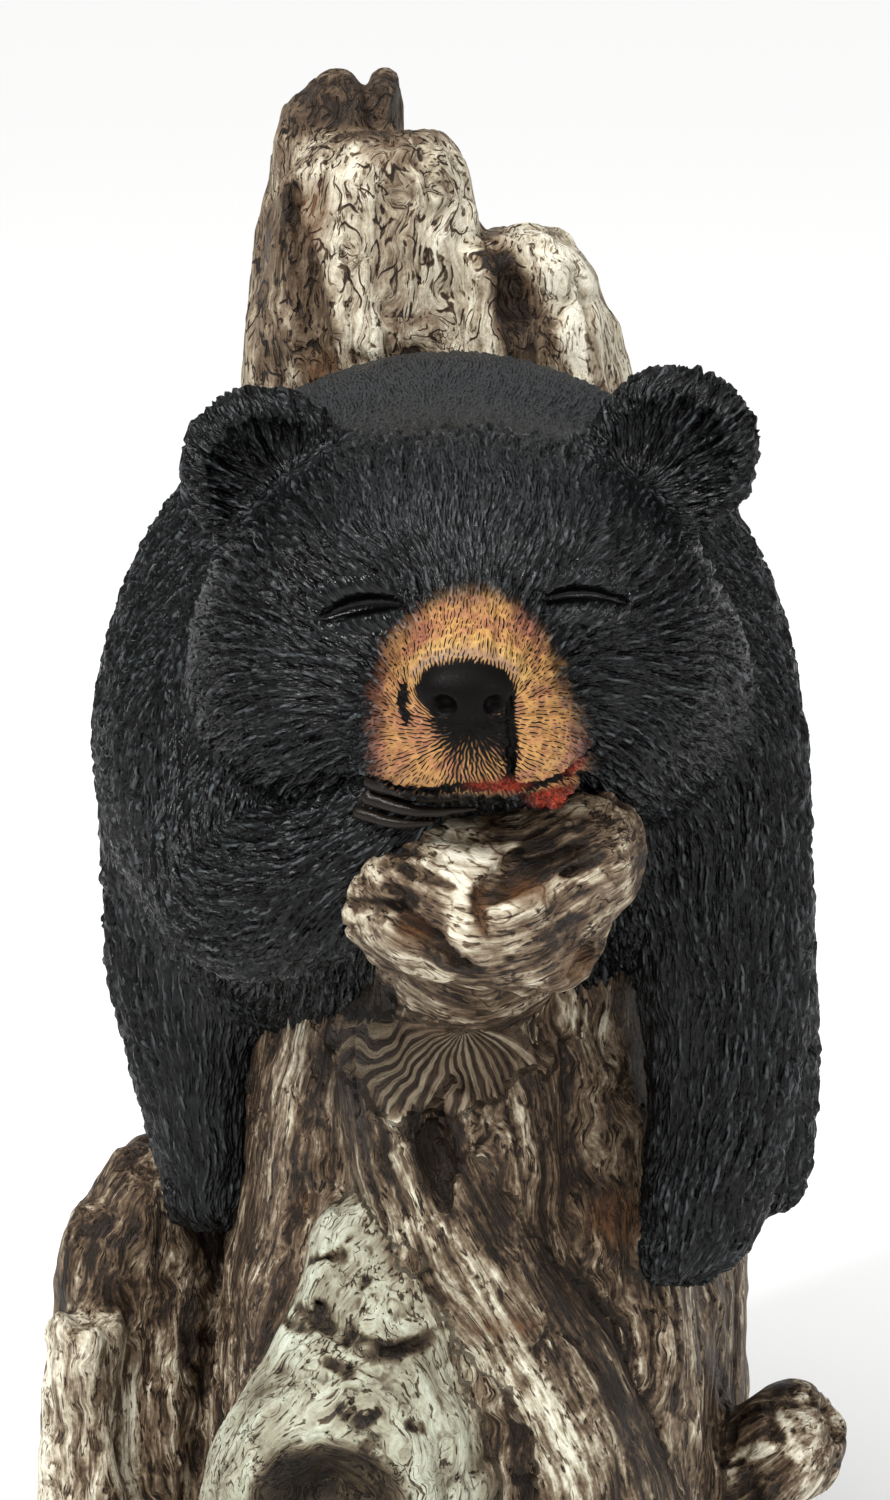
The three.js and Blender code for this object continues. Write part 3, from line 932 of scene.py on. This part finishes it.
def thinned(piece, most):
    """Collapses the flattest places until the piece has at most that many triangles."""
    ratio = most / (2 * len(piece.data.polygons))
    if ratio < 1:
        piece.modifiers.new("thin", "DECIMATE").ratio = ratio
        graph = bpy.context.evaluated_depsgraph_get()
        dense, piece.data = piece.data, bpy.data.meshes.new_from_object(piece.evaluated_get(graph))
        piece.modifiers.clear()
        bpy.data.meshes.remove(dense)


def paint(mesh, facts):
    """Stores facts at each point, for the material to read."""
    for name, values in facts.items():
        kind, field = ("FLOAT_VECTOR", "vector") if values.ndim == 2 else ("FLOAT", "value")
        layer = mesh.attributes.new(name, kind, "POINT")
        layer.data.foreach_set(field, values.astype(np.float32).ravel())


MOST_TRIANGLES = 194000


def sculpted(name, field, axes, relief, facts):
    """A piece whose skin is the field's, with its relief pressed in and its facts stored at its points."""
    points, quads = main_body(*surface_net(field, [graded(stops) for stops in axes]))
    points, out = settle(field, points, 0.5)
    points = points + out * relief(points, out)[:, None]
    points[:, 2] = np.maximum(points[:, 2], 0)
    piece = bpy.data.objects.new(name, new_mesh(name, points, quads))
    bpy.context.scene.collection.objects.link(piece)
    thinned(piece, MOST_TRIANGLES)
    piece.data.name = name
    piece.data.shade_smooth()
    points = mesh_points(piece.data)
    slope = gradient(field, points, 0.5)
    height = in_chunks(field, points) / np.maximum(length(slope), 0.5)  # above the plain field's skin
    paint(piece.data, {"height": height, **facts(points, unit(slope))})
    return piece


LIP_SPOTS = (  # strength, place, radii
    (1, (16, -93, 194.8), (5.6, 9, 2.8)),
    (0.7, (7, -98, 198.4), (7, 8, 2.2)),
    (0.6, (20.5, -90, 198.8), (4, 9, 1.4)),
)
PINK_SPOTS = (
    (1, (-4, -88, 221), (5.5, 14, 5.5)),
    (1, (11, -84, 223), (4.5, 14, 5)),
    (1, (20.5, -88, 201.5), (5, 14, 6.5)),
)


def muzzle_facts(p):
    """Where the muzzle's tan, its glazes, the painted shade on its right side and its black parts lie."""
    x, y, z = p.T
    from_nose = nose_distance(p)
    nose = smooth(0.8, 0.0, from_nose)
    below = 213 - z
    wedge = smooth(-4, 3.5, x + 6 - 0.3 * below) * smooth(10.0, 9.3, x) * smooth(-82, -90, y)
    wedge = wedge * smooth(0, 3, below) * (0.95 - 0.4 * smooth(1, 13, below)) * smooth(196.5, 198.5, z)
    lines = 0.95 * smooth(0.9, 0.1, thin_lines(p, (NICK, PHILTRUM, MOUTH)))
    halo = smooth(2.2, 0.8, from_nose) * smooth(215.5, 218, z) * (1 - nose)
    return {
        "tan": tan_paint(p),
        "nose": np.maximum(np.maximum(nose, wedge), lines),
        "halo": halo,
        "gold": smooth(4.2, 2.6, from_nose) * smooth(214, 217, z) * (1 - halo),
        "pink": np.clip(spots(p, PINK_SPOTS) + smooth(-10.5, -13.5, x), 0, 1),
        # painted shade: the muzzle darker towards the bear's right side
        "shade": smooth(0, -11, x),
        "lip": np.clip(spots(p, LIP_SPOTS), 0, 1),
    }


def bear_facts(p, out):
    slit, lid = eye_paint(p)
    nape = nape_share(p)
    muzzle = muzzle_facts(p)
    dulled = 0.42 * nape + 0.15 * smooth(0.8, 0.0, nose_distance(p)) + 0.1 * muzzle["tan"]
    return {
        **muzzle,
        "across": fur_ways(p, out)[1],
        "depth": fur_depth(p),
        "claw": smooth(0.6, 0.0, claws(p)),
        "slit": slit,
        "nape": np.maximum(nape, 0.45 * spot(p, (2, -70, 240), (34, 30, 18))),
        "gloss": np.clip(0.5 + 0.5 * lid - dulled, 0, 1),
    }


def make_bear():
    axes = [  # (place, step) along x, y and z
        [(-74, 1.2), (-55, 0.8), (-50, 0.7), (52, 0.7), (57, 0.8), (74, 1.2)],
        [(-110, 0.7), (-50, 0.74), (-30, 1.0), (68, 1.5)],
        [(78, 1.0), (170, 0.8), (186, 0.7), (256, 0.7), (262, 0.9)],
    ]
    return sculpted("bear", bear_field, axes, fur_relief, bear_facts)


def spot(p, centre, radii):
    """A soft round patch: one at its centre, nothing beyond its edge."""
    return smooth(1.0, 0.35, length((p - np.float32(centre)) / np.float32(radii)))


def spots(p, patches):
    """The sum of soft round patches, each (strength, centre, radii)."""
    return sum(strength * spot(p, centre, radii) for strength, centre, radii in patches)


def near(p, joints, reach):
    """One on the line through the joints, nothing beyond its radius and reach."""
    return smooth(reach, 0, limb(p, joints))


def traced(p, lines, reach):
    return sum(near(p, line, reach) for line in lines)


def upright_tone(p):
    x, y, z = p.T
    tone = 0.34 + 0.10 * noise(p / 16, 91)
    tone += 0.42 * smooth(226, 244, z) * smooth(-34, -27, x) * smooth(291, 287, z)
    tone += 0.14 * smooth(-27, -34, x) * smooth(200, 230, z)
    tone -= 0.12 * smooth(287, 291, z) * smooth(-17, -19, x)
    tone += spots(p, [(0.26, (22, 30, 255), (12, 24, 28)), (-0.36, (7.5, 32, 269), (5, 26, 6))])
    for strength, line, reach in zip((0.34, 0.6, 0.4, 0.5), TOP_CHANNELS + [FRONT_HOLLOW], (2, 3, 1, 2)):
        tone -= strength * near(p, line, reach)
    return tone + 0.40 * smooth(-58, -62, x) * smooth(75, 72, z) * smooth(-8, -14, y)


END_SPOTS = (  # strength, place, radii
    (0.14, (-13, -88, 177), (12, 20, 14)),
    (0.45, (0, -92, 184), (8, 20, 8)),
    (0.35, (0.5, -92, 175), (4, 20, 9)),
    (0.4, (13.5, -92, 161.8), (3, 9, 3.5)),
    (0.2, (22, -84, 174), (10, 14, 9)),
)


def end_tone(p):
    tone = 0.42 + 0.13 * noise(p / 5, 92) + spots(p, END_SPOTS) + 0.40 * traced(p, END_LIPS, 1.0)
    return tone - 0.3 * traced(p, END_HOLLOWS, 0.8) - 0.5 * traced(p, END_TEARS, 0.6)


def knot_tone(p):
    hole = smooth(1.25, 0.9, length((p - KNOT_HOLE) / np.array([13.5, 11, 12])))
    frayed = 0.6 + 0.25 * noise(p / 1.6, 95)
    tone = 0.71 + 0.14 * noise(p / 8, 94) - 0.69 * hole + 0.6 * smooth(0.6, 0, bead(p))
    return tone - frayed * traced(p, KNOT_CUTS, 0.8)


def root_tone(p):
    """Broad pale and dark bands that run down the root."""
    x, _, z = p.T
    _, axis, offset, along = limb_frame(p, ROOT)
    wide = dot(offset, np.cross(axis, np.array([0, 1, 0])))
    bands = 0.32 * noise(np.stack([wide / 4, along / 30, 0 * wide], 1), 93)
    tone = 0.13 + 0.19 * smooth(120, 108, z) - 0.08 * smooth(10, 26, x) * smooth(78, 94, z)
    return tone + bands - 0.5 * near(p, FRONT_HOLLOW, 2)


def branch_tone(p):
    x, _, z = p.T
    lips = np.maximum(*[near(p, lip, 0.8) for lip in BRANCH_LIPS])
    return 0.15 + 0.38 * smooth(62.5, 66.5, x) + 0.24 * smooth(47, 44, z) + 0.6 * lips


def wood_tone(p, share):
    """How pale the wood is painted: 0 is dark brown, 1 is cream."""
    tones = np.stack([tone(p) for tone in (upright_tone, end_tone, knot_tone, root_tone, branch_tone)])
    edge = 0.42 * near(p, PALE_EDGE, 1) * (1 - share[KNOT_WOOD])
    return np.clip((tones * share).sum(0) + edge, 0, 1)


RUST_SPOTS = (  # strength, place, radii
    (1, (29, -50, 104), (7, 20, 7)),
    (1, (-27, -55, 105), (5, 20, 6)),
    (1, (9, -62, 91), (9, 20, 3)),
    (1, (-26, 30, 276), (4, 16, 9)),
    (1, (-24, 26, 246), (6, 14, 6)),
    (1, (-13, 26, 287), (7, 14, 3)),
    (1, (-7, -96, 172), (4.5, 9, 4)),
    (1, (4.2, -96, 176), (2, 9, 5.5)),
    (1, (12, -94, 178.6), (6, 9, 2.5)),
    (1, (20.5, -90, 164), (4.5, 12, 5)),
    (1, (-4.8, 30, 256), (4, 12, 4)),
)


def stump_facts(p, _):
    kind, share = wood_kinds(p)
    snapped = share[UPRIGHT] * smooth(232, 246, p[:, 2])
    whorled = snapped * (1 - 0.5 * smooth(12, 18, p[:, 0]))
    return {
        "fibre": wood_fibre(p, kind, fanned=True),
        "tone": wood_tone(p, share),
        "zebra": zebra_patch(p) * (1 - share[END]),
        "calm": share[KNOT_WOOD] + 0.45 * share[END] + 0.7 * snapped,
        "whorled": whorled + 0.4 * share[END] + 0.3 * share[KNOT_WOOD],
        "green": 0.8 * share[KNOT_WOOD] + 0.25 * share[ROOT_WOOD],
        "rust": np.clip(spots(p, RUST_SPOTS), 0, 1),
    }


def make_stump():
    axes = [
        [(-86, 0.95), (82, 0.95)],
        [(-104, 0.85), (-40, 0.9), (20, 1.3), (60, 1.2), (86, 1.2)],
        [(-3, 1.3), (50, 1.0), (150, 0.9), (200, 1.0), (304, 0.95)],
    ]
    return sculpted("tree_stump", stump_field, axes, wood_relief, stump_facts)


# ---- materials


class Nodes:
    """A short way to write a material's node tree."""

    def __init__(self, name):
        self.material = bpy.data.materials.new(name)
        self.material.use_nodes = True
        self.tree = self.material.node_tree
        self.shader = next(n for n in self.tree.nodes if n.type == "BSDF_PRINCIPLED")

    def add(self, kind, inputs=(), **settings):
        node = self.tree.nodes.new("ShaderNode" + kind)
        for key, value in settings.items():
            setattr(node, key, value)
        for socket, value in dict(inputs).items():
            self.put(node.inputs[socket], value)
        return node

    def put(self, socket, value):
        if isinstance(value, bpy.types.NodeSocket):
            self.tree.links.new(value, socket)
        elif isinstance(value, (tuple, list)) and socket.type == "RGBA":
            socket.default_value = (*value, 1)
        else:
            socket.default_value = value

    def read(self, name, vector=False):
        return self.add("Attribute", attribute_name=name).outputs["Vector" if vector else "Fac"]

    def maths(self, operation, *values):
        return self.add("Math", enumerate(values), operation=operation).outputs[0]

    def times(self, a, b):
        return self.maths("MULTIPLY", a, b)

    def plus(self, a, b):
        return self.maths("ADD", a, b)

    def minus(self, a, b):
        return self.maths("SUBTRACT", a, b)

    def span(self, value, low, high, to_low=0.0, to_high=1.0):
        """Maps low..high to to_low..to_high with soft ends."""
        inputs = {"Value": value, "From Min": low, "From Max": high, "To Min": to_low, "To Max": to_high}
        return self.add("MapRange", inputs, interpolation_type="SMOOTHSTEP").outputs["Result"]

    def mix(self, share, a, b, blend_type="MIX"):
        inputs = {"Factor": share, 6: a, 7: b}
        return self.add("Mix", inputs, data_type="RGBA", blend_type=blend_type).outputs[2]

    def stretched(self, vector, scale):
        return self.add("VectorMath", {0: vector, 1: scale}, operation="MULTIPLY").outputs[0]

    def place(self):
        """The point's place in millimetres."""
        return self.stretched(self.add("TexCoord").outputs["Object"], (1 / UNIT,) * 3)

    def noise(self, vector, scale, detail=3.0, roughness=0.5):
        inputs = {"Vector": vector, "Scale": scale, "Detail": detail, "Roughness": roughness}
        return self.add("TexNoise", inputs).outputs[0]

    def gabor(self, vector, across, scale, frequency):
        """Short parallel dashes along the fur, from 0 to 1."""
        inputs = {"Vector": vector, "Scale": scale, "Frequency": frequency, "Anisotropy": 1.0, 5: across}
        return self.add("TexGabor", inputs, gabor_type="3D").outputs["Value"]

    def bump(self, height, distance):
        return self.add("Bump", {"Height": height, "Distance": distance * UNIT, "Strength": 1.0})

    def shade(self, colour, roughness, specular, bump):
        self.put(self.shader.inputs["Base Color"], colour)
        self.put(self.shader.inputs["Roughness"], roughness)
        self.put(self.shader.inputs["Specular IOR Level"], specular)
        self.put(self.shader.inputs["Normal"], bump.outputs[0])
        return self.material


FUR_SPECULAR, NOSE_SPECULAR, WOOD_SPECULAR = 0.17, 0.07, 0.22


def fur_paint():
    """Satin black over tooled fur, darker in its grooves as painted shade and lighter on its ridges as dry
    brush, with painted glints along its dashes; the muzzle's tan, pink and red glazes, and a painted shade
    on the muzzle's right side.
    """
    m = Nodes("painted_fur")
    place = m.place()
    across = m.read("across", vector=True)
    height, depth = m.read("height"), m.read("depth")
    dash = m.gabor(place, across, 0.42, 1.65)
    fine = m.gabor(place, across, 0.80, 1.9)
    patchy = m.noise(place, 0.09, 2)
    speck = m.noise(place, 1.6, 3, 0.6)

    ridge = m.span(height, -0.5, 0.7)
    # painted glints: a blue-grey highlight along the ridges of the dashes, where they would catch the light
    painted_glint = m.times(ridge, m.span(dash, 0.50, 0.68))
    # nearly black in the grooves and a little lighter on the ridges: partly dry brush, partly painted shade
    # in the grooves
    black = m.mix(ridge, (0.0010, 0.0011, 0.0012), (0.0050, 0.0056, 0.0060))
    black = m.mix(painted_glint, black, (0.062, 0.070, 0.075))
    black = m.mix(m.span(patchy, 0.5, 0.72, 0, 0.3), black, (0.010, 0.012, 0.0125))
    bare = m.times(m.read("nape"), m.span(speck, 0.36, 0.46))
    black = m.mix(m.times(bare, 0.85), black, (0.030, 0.032, 0.034))

    blotch = m.span(m.noise(place, 0.28, 3, 0.55), 0.45, 0.62, 0, 0.6)
    warm = m.mix(blotch, (0.44, 0.23, 0.075), (0.28, 0.095, 0.074))
    warm = m.mix(m.times(m.read("pink"), 0.85), warm, (0.25, 0.080, 0.065))
    warm = m.mix(m.span(speck, 0.5, 0.7, 0, 0.5), warm, (0.55, 0.33, 0.130))
    warm = m.mix(m.times(m.read("gold"), 0.8), warm, (0.46, 0.29, 0.090))
    # painted shade, darkening the muzzle's tan towards the bear's right side
    warm = m.mix(m.times(m.read("shade"), 0.38), warm, (0.15, 0.060, 0.032))
    thin = m.minus(fine, 0.5)
    cut = m.plus(m.times(thin, 1.6), m.times(height, 0.45))
    warm = m.mix(m.span(cut, -0.02, -0.24, 0, 0.52), warm, (0.15, 0.052, 0.019))
    colour = m.mix(m.read("tan"), black, warm)
    colour = m.mix(m.times(m.read("halo"), 0.75), colour, (0.20, 0.14, 0.10))
    nose = m.read("nose")
    ragged = m.times(m.times(thin, 6), m.minus(1, nose))
    streak = m.span(m.plus(nose, ragged), 0.3, 0.7)
    colour = m.mix(streak, colour, (0.0022, 0.0016, 0.0014))
    red = m.mix(m.span(speck, 0.42, 0.56), (0.40, 0.045, 0.018), (0.12, 0.018, 0.010))
    colour = m.mix(m.read("lip"), colour, red)
    horn = m.mix(m.span(height, 0.1, 0.5), (0.009, 0.006, 0.004), (0.070, 0.050, 0.030))
    colour = m.mix(m.read("claw"), colour, horn)
    colour = m.mix(m.read("slit"), colour, (0.001, 0.001, 0.001))

    shine = m.span(m.read("gloss"), 0, 1, 0.62, 0.08)
    shine = m.minus(shine, m.times(m.span(speck, 0.45, 0.7), 0.16))
    strands = m.times(m.plus(dash, m.times(fine, 0.5)), depth)
    bump = m.bump(strands, 0.95)
    m.put(bump.inputs["Normal"], m.bump(speck, 0.10).outputs[0])
    return m.shade(colour, shine, m.span(nose, 0, 1, FUR_SPECULAR, NOSE_SPECULAR), bump)


WOOD_STEPS = (  # from the dark wash in the cuts to the pale dry brush on the ridges
    (0.00, (0.014, 0.0085, 0.005)),
    (0.18, (0.034, 0.020, 0.0115)),
    (0.34, (0.092, 0.058, 0.032)),
    (0.50, (0.172, 0.124, 0.080)),
    (0.66, (0.345, 0.290, 0.205)),
    (0.84, (0.570, 0.515, 0.395)),
    (1.00, (0.740, 0.695, 0.570)),
)


def wood_paint():
    """Matte driftwood: dark wash in the grain, grey-brown and cream dry-brushed over it."""
    m = Nodes("painted_driftwood")
    place = m.place()
    fibre = m.read("fibre", vector=True)
    height = m.read("height")
    grain = m.noise(m.stretched(fibre, (1.1, 1.1, 0.16)), 1, 5, 0.62)
    streak = m.noise(m.stretched(fibre, (0.42, 0.42, 0.034)), 1, 3, 0.5)
    veins = m.noise(m.stretched(fibre, (0.55, 0.55, 0.075)), 1, 2, 0.5)
    nick = m.noise(m.stretched(fibre, (1.25, 1.25, 0.19)), 1, 3)
    whorl = m.noise(m.stretched(fibre, (0.17, 0.17, 0.1)), 1, 1)
    speck = m.noise(place, 0.9, 4, 0.6)
    patch = m.noise(place, 0.12, 3, 0.5)

    def swing(value, amount):
        return m.times(m.minus(value, 0.5), amount)

    lively = m.minus(1, m.times(m.read("calm"), 0.65))
    grained = m.plus(swing(grain, 1.4), swing(streak, 1.4))
    grained = m.plus(grained, m.plus(swing(speck, 0.5), swing(patch, 0.5)))
    grained = m.times(grained, lively)
    line = m.span(m.maths("ABSOLUTE", m.minus(veins, 0.5)), 0.0, 0.03, 0.5, 0.0)
    line = m.times(line, m.span(m.noise(place, 0.22, 2), 0.5, 0.62))
    rings = m.span(m.maths("SINE", m.times(whorl, 46)), 0.7, 1.0, 0, 0.6)
    broken = m.span(m.noise(place, 0.3, 2), 0.45, 0.55)
    rings = m.times(m.times(rings, broken), m.read("whorled"))
    line = m.plus(m.plus(line, rings), m.span(nick, 0.41, 0.32, 0, 0.46))
    pale = m.plus(m.read("tone"), grained)
    pale = m.plus(pale, m.times(m.times(height, lively), 0.28))
    pale = m.minus(pale, line)
    fan = m.add("SeparateXYZ", {"Vector": fibre}).outputs["X"]
    fan = m.plus(m.times(fan, 1.75), m.times(patch, 3.0))
    striped = m.span(m.maths("SINE", fan), -0.5, 0.5, 0.13, 0.6)
    pale = m.add("Mix", {0: m.times(m.read("zebra"), 0.85), 2: pale, 3: striped}).outputs[0]
    ramp = m.add("ValToRGB", {"Fac": pale})
    stops = ramp.color_ramp.elements
    while len(stops) < len(WOOD_STEPS):
        stops.new(0.5)
    for stop, (level, colour) in zip(stops, WOOD_STEPS):
        stop.position = level
        stop.color = (*colour, 1)
    colour = ramp.outputs[0]
    rust = m.times(m.read("rust"), m.span(grain, 0.36, 0.62, 0.1, 0.75))
    colour = m.mix(rust, colour, (0.125, 0.052, 0.018))
    colour = m.mix(m.times(m.read("green"), 0.6), colour, (0.74, 1.0, 1.04), "MULTIPLY")
    relief = m.minus(m.plus(grain, m.times(speck, 0.4)), m.times(line, 0.6))
    return m.shade(colour, m.span(pale, 0.1, 0.7, 0.40, 0.64), WOOD_SPECULAR, m.bump(relief, 0.9))


# ---- pieces

bear = make_bear()
bear.data.materials.append(fur_paint())
stump = make_stump()
stump.data.materials.append(wood_paint())
for piece in (bear, stump):
    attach(piece, "root")
    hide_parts(NODE)

# ---- floor, light and camera

CENTRE = (np.array(low_corner) + np.array(high_corner)) / 2
FLOOR_REACH = 40  # from its middle to its edge, in figure heights
FLOOR_COLOUR = (0.94, 0.94, 0.935, 1)
WORLD_STRENGTH, SKY_STRENGTH, SKY_SPREAD = 0.4, 2.2, 70


def make_floor():
    material = bpy.data.materials.new("floor")
    material.use_nodes = True
    shader = material.node_tree.nodes["Principled BSDF"]
    shader.inputs["Base Color"].default_value = FLOOR_COLOUR
    shader.inputs["Roughness"].default_value = 0.9
    half = FLOOR_REACH * (high_corner.z - low_corner.z)
    corners = [(-half, -half), (half, -half), (half, half), (-half, half)]
    mesh = bpy.data.meshes.new("floor")
    mesh.from_pydata([(x, y, low_corner.z) for x, y in corners], [], [(0, 1, 2, 3)])
    mesh.materials.append(material)
    floor = bpy.data.objects.new("floor", mesh)
    bpy.context.scene.collection.objects.link(floor)
    floor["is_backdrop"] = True


def aim(thing, place, target):
    """Puts a thing in the scene, its -Z towards the target and its +Y upwards."""
    thing.location = place
    thing.rotation_euler = (Vector(target) - Vector(place)).to_track_quat("-Z", "Y").to_euler()
    bpy.context.scene.collection.objects.link(thing)


def soft_light(name, offset, size, power):
    """A square soft box, its place given from the figure's centre in figure heights."""
    lamp = bpy.data.lights.new(name, "AREA")
    lamp.size = size * FIGURE_HEIGHT * UNIT
    lamp.energy = power
    place = CENTRE + np.array(offset) * FIGURE_HEIGHT * UNIT
    aim(bpy.data.objects.new(name, lamp), place, CENTRE)


def make_lights():
    world = bpy.data.worlds.new("studio")
    world.use_nodes = True
    background = world.node_tree.nodes["Background"]
    background.inputs["Color"].default_value = (1, 1, 1, 1)
    background.inputs["Strength"].default_value = WORLD_STRENGTH
    bpy.context.scene.world = world
    sky = bpy.data.lights.new("sky", "SUN")
    sky.energy = SKY_STRENGTH
    sky.angle = math.radians(SKY_SPREAD)
    aim(bpy.data.objects.new("sky", sky), (0, 0, 1), (0.2, 0.45, 0))
    soft_light("key", (-2.4, -2.6, 3.6), 0.75, 17)
    soft_light("fill", (3.0, -2.8, 1.6), 1.4, 5)


FOCAL_LENGTH, SENSOR_WIDTH = 105.84, 36
CAMERA_TARGET = (-1.75, -50, 192)
CAMERA_TILT = 14  # degrees below the horizon
CAMERA_DISTANCE = 770


def make_camera():
    """Looks down at the figure from the front, square to it, from about 2.6 figure heights away."""
    data = bpy.data.cameras.new("camera")
    data.sensor_width = SENSOR_WIDTH
    data.lens = FOCAL_LENGTH
    target = (np.array(CAMERA_TARGET) + SHIFT) * UNIT
    tilt, distance = math.radians(CAMERA_TILT), CAMERA_DISTANCE * UNIT
    place = target + distance * np.array([0, -math.cos(tilt), math.sin(tilt)])
    camera = bpy.data.objects.new("camera", data)
    aim(camera, place, target)
    bpy.context.scene.camera = camera


make_floor()
make_lights()
make_camera()
bpy.context.scene.view_settings.view_transform = "Standard"

visual_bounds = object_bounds()
boxes = {"cad": cad_bounds, "visual": visual_bounds}
{name: [list(corner) for corner in box] for name, box in boxes.items()}
